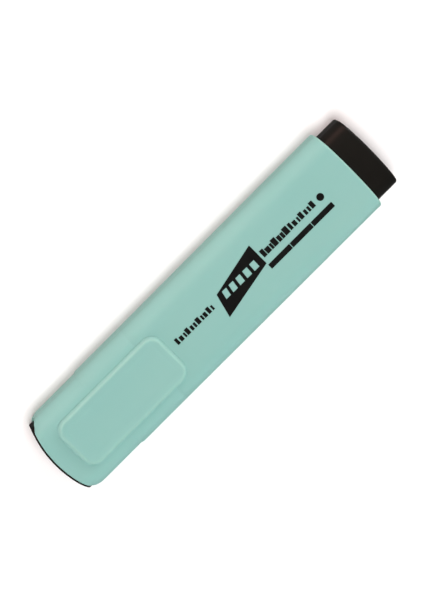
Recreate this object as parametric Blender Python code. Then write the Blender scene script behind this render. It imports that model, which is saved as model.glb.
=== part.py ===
"""A flat-bodied, chisel-tip highlighter with its cap on, as separate pieces.

Metres. +X runs from the cap end to the rear plug, +Y across the width, +Z out of the front face.
The pen lies on its flat back: z = 0 is the back face, and x = y = 0 is the middle of the whole pen.
Every hollow piece is an outer loft with a lofted cavity cut out of it, and each cavity, neck, skirt and
insert takes its size from the piece it fits, less a named clearance.
"""

import math

import bmesh
import bpy
from mathutils import Matrix, Vector

# ---------------------------------------------------------------- driving dimensions

# Outside
BODY_WIDTH = 0.0269  # barrel, across its rear end
WIDTH_TAPER = 0.0004  # how much narrower the barrel is at the cap
BODY_DEPTH = 0.0160  # front face to back face
EDGE_RADIUS = 0.0055  # long edges of barrel and cap
BARREL_LENGTH = 0.07635  # shoulder to rear edge
REAR_BOW = 0.0005  # how far the rear edge bulges in the middle
REAR_FILLET = 0.0004

# Cap
CAP_LENGTH = 0.0378  # mouth to the middle of the curved end
CAP_WALL = 0.0013
CAP_STEP_FROM_MOUTH = 0.0173
CAP_STEP = 0.00027  # the cap is this much narrower on each side past the step
CAP_STEP_LENGTH = 0.00015
CAP_END_RADIUS = 0.033  # curve of the cap's end, seen from the front
CAP_SHOULDER_LENGTH = 0.0038  # stretch where the sides draw in towards the end
CAP_SHOULDER_DROP = 0.0012  # how far they draw in
CAP_EDGE_BREAK = 0.00015
LEAST_BOW_SHARE = 0.02  # of the end's curve, where the sides begin to draw in

# Black insert in the cap's end
INSERT_PROUD = 0.00033  # shows past the cap shell all round the curved end
INSERT_DEPTH = 0.0015  # how far it runs into the cap, past the end of the cap's sides
INSERT_WALL = 0.0012
NOTCH_RADIUS = 0.010  # side notches of the cap shell that show the insert
NOTCH_DEPTH = 0.0020

# Clip
CLIP_SETBACK = 0.0059  # from the cap shell's end
CLIP_OVERHANG = 0.00665  # past the cap's mouth
CLIP_WIDTH = 0.0162
CLIP_THICKNESS = 0.0010
CLIP_CORNER = 0.0039
CLIP_EDGE = 0.0007  # rounding of the clip's upper edge
CLIP_PIVOT_FROM_END = 0.0009  # the line it bends about
STUD_RADIUS = 0.0012
STUD_FROM_CLIP_END = 0.0024
STUD_SPACING = 0.0080

# Barrel
BARREL_WALL = 0.00125
NECK_WALL = 0.0013
NECK_BEAD = 0.00015
NECK_BEAD_WIDTH = 0.0008
NECK_BEAD_FROM_SHOULDER = 0.0045
NECK_LEAD = 0.0004
CAVITY_STEP_START = 0.0010  # behind the shoulder
CAVITY_STEP_LENGTH = 0.0020
RIB_THICKNESS = 0.0010
RIB_SPACING = 0.0100
RIB_BITE = 0.0004  # how far a rib runs into the wall it stands on

# Rear plug
PLUG_EXPOSED = 0.00765
PLUG_DEPTH = 0.0070  # inside the barrel
PLUG_WALL = 0.0013
PLUG_END_WALL = 0.0015
PLUG_BOW = 0.0006
PLUG_FILLET = 0.0005
PLUG_BEAD = 0.00025
PLUG_BEAD_WIDTH = 0.0012
PLUG_BEAD_FROM_REAR = 0.0035
PLUG_RIB_SPACING = 0.0080

# Nose piece
NOSE_TAPER_LENGTH = 0.0040
NOSE_TIP_LENGTH = 0.0050
NOSE_WALL = 0.0015
NOSE_FLARE = 0.0009
SEAL_LAND_LENGTH = 0.0030
FLANGE_THICKNESS = 0.0016
SKIRT_LENGTH = 0.0060
SKIRT_WALL = 0.0012
SKIRT_POCKET = 0.0048
VENT_WIDTH = 0.0010
VENT_DEPTH = 0.0007

# Inner cap
INNER_CAP_WIDTH = 0.0164
INNER_CAP_WALL = 0.0009
INNER_CAP_LAP = 0.0024  # how far it reaches over the nose's seal land
NIB_TIP_CLEARANCE = 0.0018

# Nib and ink filler
NIB_WIDTH = 0.0050
NIB_THICKNESS = 0.0038
NIB_CORNER = 0.0008
NIB_EXPOSED = 0.0055
NIB_TAIL_DEPTH = 0.0050
NIB_SLANT = 0.0024
NIB_BEVEL_LENGTH = 0.0032
NIB_EDGE_THICKNESS = 0.0012
FILLER_CORNER = 0.0040
FILM_THICKNESS = 0.0003
FILM_SETBACK = 0.0010

# Clearances
FIT_GAP = 0.0003  # between two pieces that meet
OVERRUN = 0.0010  # how far a cutter runs past what it cuts

# Smoothness
OUTER_CORNER_STEPS = 9
INNER_CORNER_STEPS = 6
FLAT_STEPS = 10  # divisions of the flats of a piece with a curved end
SHOULDER_STEPS = 8
STUD_STEPS = 24
NOTCH_STEPS = 96
FILLET_STEPS = 3
SMOOTH_ANGLE = math.radians(35)
ROUNDEST = 0.98  # a corner's radius is at most this share of the half section

# ---------------------------------------------------------------- half sections: width, depth, corner


def inside(section, wall):
    """The section a wall or a gap further in."""
    return tuple(size - wall for size in section)


def outside(section, wall):
    return inside(section, -wall)


rear_section = (BODY_WIDTH / 2, BODY_DEPTH / 2, EDGE_RADIUS)
mouth_section = ((BODY_WIDTH - WIDTH_TAPER) / 2, BODY_DEPTH / 2, EDGE_RADIUS)
cap_nose_section = (mouth_section[0] - CAP_STEP, mouth_section[1], EDGE_RADIUS)
cap_end_section = (cap_nose_section[0] - CAP_SHOULDER_DROP, cap_nose_section[1], EDGE_RADIUS)

cap_mouth_cavity = inside(mouth_section, CAP_WALL)
cap_nose_cavity = inside(cap_nose_section, CAP_WALL)
cap_end_cavity = inside(cap_end_section, CAP_WALL)
neck_section = inside(cap_mouth_cavity, FIT_GAP)
neck_bore = inside(neck_section, NECK_WALL)
barrel_front_cavity = inside(mouth_section, BARREL_WALL)
barrel_rear_cavity = inside(rear_section, BARREL_WALL)
plug_section = inside(barrel_rear_cavity, FIT_GAP)
plug_cavity = inside(plug_section, PLUG_WALL)

skirt_section = inside(neck_bore, FIT_GAP)
skirt_cavity = inside(skirt_section, SKIRT_WALL)
film_section = (skirt_section[0], skirt_section[1], FILLER_CORNER + FIT_GAP + FILM_THICKNESS)
film_bore = inside(film_section, FILM_THICKNESS)
filler_section = inside(film_bore, FIT_GAP)

inner_cap_section = (INNER_CAP_WIDTH / 2, cap_nose_cavity[1] - FIT_GAP, cap_nose_cavity[2] - FIT_GAP)
inner_cap_bore = inside(inner_cap_section, INNER_CAP_WALL)
land_section = inside(inner_cap_bore, FIT_GAP)
insert_core_section = inside(cap_end_cavity, FIT_GAP)
insert_head_section = (cap_end_section[0] + CAP_EDGE_BREAK, *insert_core_section[1:])
notch_section = outside(insert_head_section, FIT_GAP)
nib_section_size = (NIB_WIDTH / 2, NIB_THICKNESS / 2, NIB_CORNER)
nib_bore = outside(nib_section_size, FIT_GAP)
nose_tip_section = outside(nib_bore, NOSE_WALL)
nose_base_section = outside(land_section, NOSE_FLARE)


# ---------------------------------------------------------------- curved ends


def arc_drop(radius, offset):
    """How far an arc of this radius falls away at this distance from its middle."""
    if radius is None:
        return 0.0
    return radius - math.sqrt(radius * radius - offset * offset)


def bow_radius(bow, half_width):
    return (half_width * half_width + bow * bow) / (2 * bow)


# ---------------------------------------------------------------- places along X

total_length = INSERT_PROUD + CAP_LENGTH + FIT_GAP + BARREL_LENGTH + PLUG_EXPOSED
mid_z = BODY_DEPTH / 2

cap_tip_x = -total_length / 2
shell_end_x = cap_tip_x + INSERT_PROUD
mouth_x = shell_end_x + CAP_LENGTH
cap_step_x = mouth_x - CAP_STEP_FROM_MOUTH
shoulder_x = mouth_x + FIT_GAP
barrel_rear_x = shoulder_x + BARREL_LENGTH
plug_tip_x = barrel_rear_x + PLUG_EXPOSED
plug_inner_x = barrel_rear_x - PLUG_DEPTH

side_end_x = shell_end_x + arc_drop(CAP_END_RADIUS, cap_end_section[0])
insert_inner_x = side_end_x + INSERT_DEPTH
inner_cap_end_x = insert_inner_x + FIT_GAP
nib_tip_x = inner_cap_end_x + INNER_CAP_WALL + NIB_TIP_CLEARANCE
nose_tip_x = nib_tip_x + NIB_EXPOSED
land_front_x = nose_tip_x + NOSE_TIP_LENGTH
land_rear_x = land_front_x + SEAL_LAND_LENGTH
flange_front_x = land_rear_x + NOSE_TAPER_LENGTH
flange_rear_x = flange_front_x + FLANGE_THICKNESS
neck_end_x = flange_rear_x + FIT_GAP
skirt_rear_x = flange_rear_x + SKIRT_LENGTH
filler_front_x = skirt_rear_x + FIT_GAP
filler_rear_x = plug_inner_x - FIT_GAP
nib_tail_x = filler_front_x + NIB_TAIL_DEPTH

clip_start_x = shell_end_x + CLIP_SETBACK
clip_end_x = mouth_x + CLIP_OVERHANG
stud_x = clip_start_x + STUD_FROM_CLIP_END
cap_pivot = Vector((mouth_x, 0, mid_z))
clip_pivot = Vector((clip_start_x + CLIP_PIVOT_FROM_END, 0, BODY_DEPTH + FIT_GAP))


# ---------------------------------------------------------------- mesh helpers


def clear_scene():
    for obj in list(bpy.data.objects):
        bpy.data.objects.remove(obj, do_unlink=True)


def material(name, color, roughness, metallic=0.0):
    mat = bpy.data.materials.new(name)
    mat.use_nodes = True
    shader = mat.node_tree.nodes["Principled BSDF"]
    shader.inputs["Base Color"].default_value = (*color, 1.0)
    shader.inputs["Roughness"].default_value = roughness
    shader.inputs["Metallic"].default_value = metallic
    return mat


def rounded_outline(half_a, half_b, corner, steps, flat_steps=1):
    """Points of a rounded rectangle, anticlockwise, with the same number of points whatever its size.

    flat_steps divides the two sides that run along the first axis, for an end that is curved there."""
    radius = min(corner, ROUNDEST * half_a, ROUNDEST * half_b)
    centres = ((1, 1, 0), (-1, 1, 90), (-1, -1, 180), (1, -1, 270))
    points = []
    for side_a, side_b, start in centres:
        for step in range(steps + 1):
            angle = math.radians(start + 90 * step / steps)
            a = side_a * (half_a - radius) + radius * math.cos(angle)
            b = side_b * (half_b - radius) + radius * math.sin(angle)
            points.append((a, b))
        if side_a == side_b:
            flat = side_a * (half_a - radius)
            points += [(flat * (1 - 2 * step / flat_steps), side_b * half_b) for step in range(1, flat_steps)]
    return points


def mesh_object(name, bm):
    bmesh.ops.recalc_face_normals(bm, faces=bm.faces)
    mesh = bpy.data.meshes.new(name)
    bm.to_mesh(mesh)
    bm.free()
    mesh.shade_smooth()
    mesh.set_sharp_from_angle(angle=SMOOTH_ANGLE)
    obj = bpy.data.objects.new(name, mesh)
    bpy.context.scene.collection.objects.link(obj)
    return obj


def fillet(radius):
    """Steps of a quarter round as (setback from the end, draw-in from the side), side to end."""
    angles = [math.radians(90 * step / FILLET_STEPS) for step in range(FILLET_STEPS + 1)]
    return [(radius * (1 - math.sin(angle)), radius * (1 - math.cos(angle))) for angle in angles]


def skin_rings(rings):
    """A closed solid from rings with equal numbers of points. Strips close its ends, curved or flat."""
    bm = bmesh.new()
    rows = [[bm.verts.new(point) for point in ring] for ring in rings]
    count = len(rings[0])
    for row, following in zip(rows, rows[1:]):
        for i in range(count):
            j = (i + 1) % count
            bm.faces.new((row[i], row[j], following[j], following[i]))
    for row in (rows[0], rows[-1]):
        for i in range(count // 2 - 1):
            bm.faces.new((row[i], row[i + 1], row[count - 2 - i], row[count - 1 - i]))
    return bm


def loft(name, stations, steps=OUTER_CORNER_STEPS):
    """A solid along X through stations (x, section) or (x, section, bow radius, side the bow falls to)."""
    rings = []
    flat_steps = FLAT_STEPS if any(len(station) > 2 for station in stations) else 1
    for x, section, *bow in stations:
        radius, direction = bow if bow else (None, 1)
        outline = rounded_outline(*section, steps, flat_steps)
        rings.append([(x + direction * arc_drop(radius, y), y, mid_z + z) for y, z in outline])
    return mesh_object(name, skin_rings(rings))


def stack(name, levels, centre_x, steps=OUTER_CORNER_STEPS):
    """A solid along Z through levels (z, half length, half width, corner)."""
    rings = []
    for z, half_length, half_width, corner in levels:
        outline = rounded_outline(half_length, half_width, corner, steps)
        rings.append([(centre_x + a, b, z) for a, b in outline])
    return mesh_object(name, skin_rings(rings))


def prism(name, outline, axis, low, high):
    """A closed solid: an outline of (first, second) pairs, extruded along the third axis."""
    bm = bmesh.new()
    ends = []
    for level in (low, high):
        if axis == "Y":
            ends.append([bm.verts.new((a, level, b)) for a, b in outline])
        else:
            ends.append([bm.verts.new((a, b, level)) for a, b in outline])
    count = len(outline)
    for i in range(count):
        j = (i + 1) % count
        bm.faces.new((ends[0][i], ends[0][j], ends[1][j], ends[1][i]))
    bm.faces.new(ends[0])
    bm.faces.new(ends[1])
    return mesh_object(name, bm)


def circle(centre_a, centre_b, radius, steps):
    return [
        (
            centre_a + radius * math.cos(2 * math.pi * i / steps),
            centre_b + radius * math.sin(2 * math.pi * i / steps),
        )
        for i in range(steps)
    ]


def box(name, x_span, y_span, z_span):
    outline = [(x_span[0], y_span[0]), (x_span[1], y_span[0]), (x_span[1], y_span[1]), (x_span[0], y_span[1])]
    return prism(name, outline, "Z", *z_span)


def combine(target, tool, operation):
    """Cuts, joins or intersects target with tool, which is only a guide and isn't part of the pen."""
    modifier = target.modifiers.new(tool.name, "BOOLEAN")
    modifier.operation = operation
    modifier.solver = "EXACT"
    modifier.object = tool
    tool.display_type = "WIRE"
    tool.hide_render = True


def cut(target, tool):
    combine(target, tool, "DIFFERENCE")


def join(target, tool):
    combine(target, tool, "UNION")


def keep_within(target, tool):
    combine(target, tool, "INTERSECT")


# ---------------------------------------------------------------- pieces of the barrel


def make_barrel(mint):
    bow = bow_radius(REAR_BOW, rear_section[0])
    bead_x = shoulder_x - NECK_BEAD_FROM_SHOULDER
    stations = [
        (neck_end_x, inside(neck_section, NECK_LEAD)),
        (neck_end_x + NECK_LEAD, neck_section),
        (bead_x - NECK_BEAD_WIDTH, neck_section),
        (bead_x - NECK_BEAD_WIDTH / 2, outside(neck_section, NECK_BEAD)),
        (bead_x, neck_section),
        (shoulder_x, neck_section),
        (shoulder_x, inside(mouth_section, CAP_EDGE_BREAK)),
        (shoulder_x + CAP_EDGE_BREAK, mouth_section),
    ]
    for setback, draw_in in fillet(REAR_FILLET):
        stations.append((barrel_rear_x - setback, inside(rear_section, draw_in), bow, -1))
    barrel = loft("barrel", stations)

    bead_mid_x = barrel_rear_x - PLUG_BEAD_FROM_REAR
    groove = outside(barrel_rear_cavity, PLUG_BEAD)
    cavity = loft(
        "barrel_cavity",
        [
            (neck_end_x - OVERRUN, neck_bore),
            (shoulder_x + CAVITY_STEP_START, neck_bore),
            (shoulder_x + CAVITY_STEP_START + CAVITY_STEP_LENGTH, barrel_front_cavity),
            (bead_mid_x - PLUG_BEAD_WIDTH, barrel_rear_cavity),
            (bead_mid_x - PLUG_BEAD_WIDTH / 2, groove),
            (bead_mid_x + PLUG_BEAD_WIDTH / 2, groove),
            (bead_mid_x + PLUG_BEAD_WIDTH, barrel_rear_cavity),
            (barrel_rear_x + OVERRUN, barrel_rear_cavity),
        ],
    )
    cut(barrel, cavity)
    for rib in filler_ribs():
        join(barrel, rib)
    barrel.data.materials.append(mint)


def filler_ribs():
    """Long ribs on the barrel's inner walls that hold the ink filler centred."""
    x_span = (shoulder_x + CAVITY_STEP_START + CAVITY_STEP_LENGTH + OVERRUN, plug_inner_x - OVERRUN)
    inner_z = film_section[1] + FIT_GAP
    outer_z = barrel_front_cavity[1] + RIB_BITE
    inner_y = film_section[0] + FIT_GAP
    outer_y = barrel_front_cavity[0] + RIB_BITE
    ribs = []
    for side in (-1, 1):
        for place in (-1, 1):
            y = place * RIB_SPACING / 2
            y_span = (y - RIB_THICKNESS / 2, y + RIB_THICKNESS / 2)
            z_span = sorted((mid_z + side * inner_z, mid_z + side * outer_z))
            ribs.append(box(f"filler_rib_z{side}_{place}", x_span, y_span, z_span))
        y_span = sorted((side * inner_y, side * outer_y))
        z_span = (mid_z - RIB_THICKNESS / 2, mid_z + RIB_THICKNESS / 2)
        ribs.append(box(f"filler_rib_y{side}", x_span, y_span, z_span))
    return ribs


def make_rear_plug(black):
    bow = bow_radius(PLUG_BOW, plug_section[0])
    bead_mid_x = barrel_rear_x - PLUG_BEAD_FROM_REAR
    stations = [
        (plug_inner_x, inside(plug_section, FIT_GAP)),
        (plug_inner_x + OVERRUN, plug_section),
        (bead_mid_x - PLUG_BEAD_WIDTH / 2, plug_section),
        (bead_mid_x, outside(plug_section, PLUG_BEAD)),
        (bead_mid_x + PLUG_BEAD_WIDTH / 2, plug_section),
    ]
    for setback, draw_in in fillet(PLUG_FILLET):
        stations.append((plug_tip_x - setback, inside(plug_section, draw_in), bow, -1))
    plug = loft("rear_plug", stations)

    cavity_end_x = plug_tip_x - PLUG_BOW - PLUG_END_WALL
    cut(
        plug,
        loft(
            "plug_cavity",
            [(plug_inner_x - OVERRUN, plug_cavity), (cavity_end_x, plug_cavity)],
            INNER_CORNER_STEPS,
        ),
    )
    x_span = (plug_inner_x + FIT_GAP, cavity_end_x + RIB_BITE)
    reach_z = plug_cavity[1] + RIB_BITE
    for side in (-1, 1):
        y = side * PLUG_RIB_SPACING / 2
        y_span = (y - RIB_THICKNESS / 2, y + RIB_THICKNESS / 2)
        join(plug, box(f"plug_rib_{side}", x_span, y_span, (mid_z - reach_z, mid_z + reach_z)))
    plug.data.materials.append(black)


def make_nib_section(black):
    section = loft(
        "nib_section",
        [
            (nose_tip_x, inside(nose_tip_section, FIT_GAP)),
            (nose_tip_x + FIT_GAP, nose_tip_section),
            (land_front_x, land_section),
            (land_rear_x, land_section),
            (flange_front_x, nose_base_section),
            (flange_front_x, neck_section),
            (flange_rear_x, neck_section),
            (flange_rear_x, skirt_section),
            (skirt_rear_x, skirt_section),
        ],
    )
    pocket_x = skirt_rear_x - SKIRT_POCKET
    cut(
        section,
        loft(
            "skirt_pocket",
            [(pocket_x, skirt_cavity), (skirt_rear_x + OVERRUN, skirt_cavity)],
            INNER_CORNER_STEPS,
        ),
    )
    bore_span = (nose_tip_x - OVERRUN, pocket_x + OVERRUN)
    cut(section, loft("nib_bore", [(x, nib_bore) for x in bore_span], INNER_CORNER_STEPS))
    vent_reach = nib_bore[1] + VENT_DEPTH
    vent_y = (-VENT_WIDTH / 2, VENT_WIDTH / 2)
    cut(section, box("vent_slot", bore_span, vent_y, (mid_z - vent_reach, mid_z + vent_reach)))
    section.data.materials.append(black)


def make_nib(felt):
    nib = loft("nib", [(nib_tip_x, nib_section_size), (nib_tail_x, nib_section_size)], INNER_CORNER_STEPS)
    half_width = NIB_WIDTH / 2 + OVERRUN
    slant = NIB_SLANT / NIB_WIDTH
    end_x = nib_tail_x + OVERRUN
    outline = [
        (nib_tip_x + slant * (NIB_WIDTH / 2 - half_width), -half_width),
        (end_x, -half_width),
        (end_x, half_width),
        (nib_tip_x + slant * (NIB_WIDTH / 2 + half_width), half_width),
    ]
    keep_within(nib, prism("nib_slant_guide", outline, "Z", 0, BODY_DEPTH))

    bevel_end_x = nib_tip_x + NIB_BEVEL_LENGTH
    rise = (NIB_THICKNESS - NIB_EDGE_THICKNESS) / 2 / NIB_BEVEL_LENGTH
    start_x = nib_tip_x - OVERRUN / 2
    start_half = NIB_EDGE_THICKNESS / 2 - rise * OVERRUN / 2
    end_half = NIB_THICKNESS / 2 + OVERRUN
    wide_x = bevel_end_x + OVERRUN / rise
    wedge = [
        (start_x, mid_z - start_half),
        (wide_x, mid_z - end_half),
        (end_x, mid_z - end_half),
        (end_x, mid_z + end_half),
        (wide_x, mid_z + end_half),
        (start_x, mid_z + start_half),
    ]
    keep_within(nib, prism("nib_wedge_guide", wedge, "Y", -half_width, half_width))
    nib.data.materials.append(felt)


def make_ink_reservoir(fibre):
    reservoir = loft("ink_reservoir", [(filler_front_x, filler_section), (filler_rear_x, filler_section)])
    socket_span = (filler_front_x - OVERRUN, nib_tail_x + FIT_GAP)
    cut(reservoir, loft("nib_socket", [(x, nib_bore) for x in socket_span], INNER_CORNER_STEPS))
    reservoir.data.materials.append(fibre)


def make_reservoir_film(clear):
    x_span = (filler_front_x + FILM_SETBACK, filler_rear_x - FILM_SETBACK)
    film = loft("reservoir_film", [(x, film_section) for x in x_span])
    bore_span = (x_span[0] - OVERRUN, x_span[1] + OVERRUN)
    cut(film, loft("film_bore", [(x, film_bore) for x in bore_span]))
    film.data.materials.append(clear)


# ---------------------------------------------------------------- pieces of the cap


def make_cap_shell(mint):
    stations = [
        (mouth_x, inside(mouth_section, CAP_EDGE_BREAK)),
        (mouth_x - CAP_EDGE_BREAK, mouth_section),
        (cap_step_x + CAP_STEP_LENGTH, mouth_section),
        (cap_step_x, cap_nose_section),
    ]
    for step in range(SHOULDER_STEPS + 1):
        share = max(step / SHOULDER_STEPS, LEAST_BOW_SHARE)
        section = (cap_nose_section[0] - CAP_SHOULDER_DROP * share * share, *cap_nose_section[1:])
        side_x = side_end_x + CAP_SHOULDER_LENGTH * (1 - share)
        radius = CAP_END_RADIUS / share
        stations.append((side_x - arc_drop(radius, section[0]), section, radius, 1))
    shell = loft("cap_shell", stations)

    past_flange_x = flange_front_x - OVERRUN
    shoulder_start_x = side_end_x + CAP_SHOULDER_LENGTH
    cavity = loft(
        "cap_cavity",
        [
            (mouth_x + OVERRUN, cap_mouth_cavity),
            (past_flange_x, cap_mouth_cavity),
            (past_flange_x - OVERRUN, cap_nose_cavity),
            (shoulder_start_x, cap_nose_cavity),
            (side_end_x, cap_end_cavity),
            (cap_tip_x - OVERRUN, cap_end_cavity),
        ],
    )
    cut(shell, cavity)
    notch = end_loft("end_notch", notch_section, cap_tip_x - OVERRUN, OVERRUN)
    keep_within(notch, notch_cylinder("end_notch_guide", 0.0))
    cut(shell, notch)
    for side in (-1, 1):
        hole = circle(stud_x, side * STUD_SPACING / 2, STUD_RADIUS + FIT_GAP, STUD_STEPS)
        hole_span = (BODY_DEPTH - CAP_WALL - OVERRUN, BODY_DEPTH + OVERRUN)
        cut(shell, prism(f"stud_hole_{side}", hole, "Z", *hole_span))
    shell.data.materials.append(mint)
    return shell


def end_loft(name, section, end_x, spare):
    """A block at the cap's end with the end's own curve, from end_x to past the side notches."""
    stations = [
        (side_end_x + NOTCH_DEPTH + spare, section),
        (end_x, section, CAP_END_RADIUS, 1),
    ]
    return loft(name, stations)


def notch_cylinder(name, gap):
    """Bounds the side notches of the cap's end, or the insert's head a gap inside them."""
    centre_x = side_end_x + NOTCH_DEPTH - NOTCH_RADIUS
    outline = circle(centre_x, mid_z, NOTCH_RADIUS - gap, NOTCH_STEPS)
    return prism(name, outline, "Y", -BODY_WIDTH, BODY_WIDTH)


def make_cap_end_insert(black):
    insert = end_loft("cap_end_insert", insert_head_section, cap_tip_x, 0.0)
    keep_within(insert, notch_cylinder("insert_head_guide", FIT_GAP))
    core_stations = [
        (insert_inner_x, insert_core_section),
        (cap_tip_x, insert_core_section, CAP_END_RADIUS, 1),
    ]
    join(insert, loft("insert_core", core_stations))
    cavity_section = inside(insert_core_section, INSERT_WALL)
    cavity_stations = [
        (insert_inner_x + OVERRUN, cavity_section),
        (cap_tip_x + INSERT_WALL, cavity_section, CAP_END_RADIUS, 1),
    ]
    cut(insert, loft("insert_cavity", cavity_stations, INNER_CORNER_STEPS))
    insert.data.materials.append(black)
    return insert


def make_inner_cap(white):
    cup = loft(
        "inner_cap",
        [(inner_cap_end_x, inner_cap_section), (land_front_x + INNER_CAP_LAP, inner_cap_section)],
    )
    bore_span = (inner_cap_end_x + INNER_CAP_WALL, land_front_x + INNER_CAP_LAP + OVERRUN)
    cut(cup, loft("inner_cap_bore", [(x, inner_cap_bore) for x in bore_span]))
    cup.data.materials.append(white)
    return cup


def make_clip(mint):
    half_length = (clip_end_x - clip_start_x) / 2
    half_width = CLIP_WIDTH / 2
    centre_x = (clip_start_x + clip_end_x) / 2
    low_z = clip_pivot.z
    high_z = low_z + CLIP_THICKNESS
    levels = [
        (low_z, *inside((half_length, half_width, CLIP_CORNER), CAP_EDGE_BREAK)),
        (low_z + CAP_EDGE_BREAK, half_length, half_width, CLIP_CORNER),
    ]
    for setback, draw_in in fillet(CLIP_EDGE):
        size = inside((half_length, half_width, CLIP_CORNER), draw_in)
        levels.append((high_z - setback, *size))
    clip = stack("clip", levels, centre_x)
    for side in (-1, 1):
        stud = circle(stud_x, side * STUD_SPACING / 2, STUD_RADIUS, STUD_STEPS)
        join(clip, prism(f"clip_stud_{side}", stud, "Z", BODY_DEPTH - CAP_WALL, low_z + CLIP_THICKNESS / 2))
    clip.data.materials.append(mint)
    return clip


# ---------------------------------------------------------------- moving groups and the whole pen


def pivot(name, place):
    """An empty on a joint's axis."""
    empty = bpy.data.objects.new(name, None)
    bpy.context.scene.collection.objects.link(empty)
    empty.location = place
    return empty


def hold(obj, empty, place):
    """Parents obj to the empty at that place, and leaves it where it is."""
    obj.parent = empty
    obj.matrix_parent_inverse = Matrix.Translation(-place)


def main():
    clear_scene()
    mint = material("mint_plastic", (0.31, 0.55, 0.50), 0.38)
    black = material("black_plastic", (0.014, 0.013, 0.011), 0.30)
    white = material("natural_plastic", (0.78, 0.80, 0.78), 0.45)
    felt = material("nib_fibre", (0.36, 0.72, 0.64), 0.85)
    fibre = material("filler_fibre", (0.30, 0.66, 0.58), 0.90)
    clear = material("film", (0.80, 0.84, 0.84), 0.25)

    make_barrel(mint)
    make_rear_plug(black)
    make_nib_section(black)
    make_nib(felt)
    make_ink_reservoir(fibre)
    make_reservoir_film(clear)

    cap_slide = pivot("cap_slide", cap_pivot)
    for piece in (make_cap_shell(mint), make_cap_end_insert(black), make_inner_cap(white)):
        hold(piece, cap_slide, cap_pivot)
    clip_bend = pivot("clip_bend", clip_pivot)
    hold(clip_bend, cap_slide, cap_pivot)
    hold(make_clip(mint), clip_bend, clip_pivot)


main()
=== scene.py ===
"""The looks of a flat chisel-tip highlighter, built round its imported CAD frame, in metres."""

import math

import bmesh
import bpy
import numpy as np
from mathutils import Matrix, Vector


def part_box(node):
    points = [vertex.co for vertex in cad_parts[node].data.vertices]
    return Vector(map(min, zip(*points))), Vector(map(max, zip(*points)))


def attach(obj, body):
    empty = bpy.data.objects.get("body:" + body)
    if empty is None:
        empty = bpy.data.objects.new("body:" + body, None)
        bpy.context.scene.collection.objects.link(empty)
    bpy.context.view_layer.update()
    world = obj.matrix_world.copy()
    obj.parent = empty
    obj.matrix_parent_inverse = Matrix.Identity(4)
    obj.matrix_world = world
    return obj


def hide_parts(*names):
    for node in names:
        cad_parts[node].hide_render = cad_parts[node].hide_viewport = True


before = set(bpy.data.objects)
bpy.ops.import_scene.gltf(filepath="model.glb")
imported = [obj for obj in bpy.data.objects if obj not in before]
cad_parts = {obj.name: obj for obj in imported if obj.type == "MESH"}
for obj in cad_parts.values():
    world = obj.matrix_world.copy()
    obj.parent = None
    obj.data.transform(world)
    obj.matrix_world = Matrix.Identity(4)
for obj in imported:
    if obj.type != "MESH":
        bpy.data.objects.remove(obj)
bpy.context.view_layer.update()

MM = 0.001

# ---------------------------------------------------------------- driving sizes, in metres

# Body
EDGE_RADIUS = 0.0055
BARREL_WALL = 0.00125
NECK_WALL = 0.0013
NECK_BEAD = 0.00015
NECK_BEAD_WIDTH = 0.0008
NECK_BEAD_FROM_SHOULDER = 0.0045
NECK_LEAD = 0.0004
CAVITY_STEP_START = 0.0010
CAVITY_STEP_LENGTH = 0.0020
REAR_BOW = 0.0005
REAR_FILLET = 0.0007
EDGE_BREAK = 0.00012
EDGE_BREAK_TURN = 0.3  # share of an edge break at which its rounding turns
SEAM_EDGE = 0.00002  # edge rounding on both sides of the seam
SEAM = 0.000015  # the gap that shows between the cap's mouth and the barrel
FIT_GAP = 0.0003

# Rear plug
PLUG_DEPTH = 0.0070
PLUG_WALL = 0.0013
PLUG_BOW = 0.0006
PLUG_FILLET = 0.0007
PLUG_END_WALL = 0.0015

# Cap
CAP_WALL = 0.0013
CAP_STEP_FROM_MOUTH = 0.0173
CAP_STEP = 0.00027
CAP_STEP_LENGTH = 0.0009
CAP_END_RADIUS = 0.033
CAP_SHOULDER_LENGTH = 0.0038
CAP_SHOULDER_DROP = 0.0012
LEAST_BOW_SHARE = 0.02  # keeps the bow's radius finite where the shoulder starts
CAP_CAVITY_STEP = 0.0010  # length over which the cavity widens towards the mouth
FLANGE_CLEARANCE = 0.0010  # of the widened cavity, ahead of the nose piece's flange
NOTCH_RADIUS = 0.010
NOTCH_DEPTH = 0.0020
NOTCH_FULL_HEIGHT = 0.0052  # half heights between which the notch fades into the end's curve
NOTCH_LAST_HEIGHT = 0.0064
NOTCH_REACH_SHARE = 0.99  # of its radius, past which the notch's edge runs straight
INSERT_WALL = 0.0012
INSERT_LIP_STEP = 0.00015  # the lip that covers the shell's end is this much lower than the shell
INSERT_HEAD_LEAST = 0.0006  # least length of the insert's head, over the top
EAR_SETBACK = 0.00005  # of the insert's ears, from the shell's sides
EAR_EDGE_SHARE = 0.04  # of the ears' reach to the side, at each end of their edge break
LIP_FILLET = 0.00008
LIP_EXTRA = 0.00020  # the shell ends this much sooner than its solid, so that the lip shows

# Clip
CLIP_CORNER = 0.0039
CLIP_LIP = 0.00025  # straight height of the clip's edge, under its sloping flank
CLIP_FLANK = 0.0011  # width of the flank
CLIP_FLANK_POWER = 1.3  # makes the flank steeper near the edge
CLIP_RIM = 0.0001  # width of the crest between the flank and the dish
CLIP_DISH = 0.00010
CLIP_DISH_WIDTH = 0.0016
CLIP_HIGHLIGHT_HALF_WIDTH = 0.0004  # half width of the painted highlight, a paler band along the pad's rounded edge
CLIP_HIGHLIGHT_SHARE = 0.7  # of the flank's width, where that band has its middle
CLIP_LEAST_CORNER = 0.0010
CLIP_GAP = 0.0001  # between the pad and the front

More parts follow.
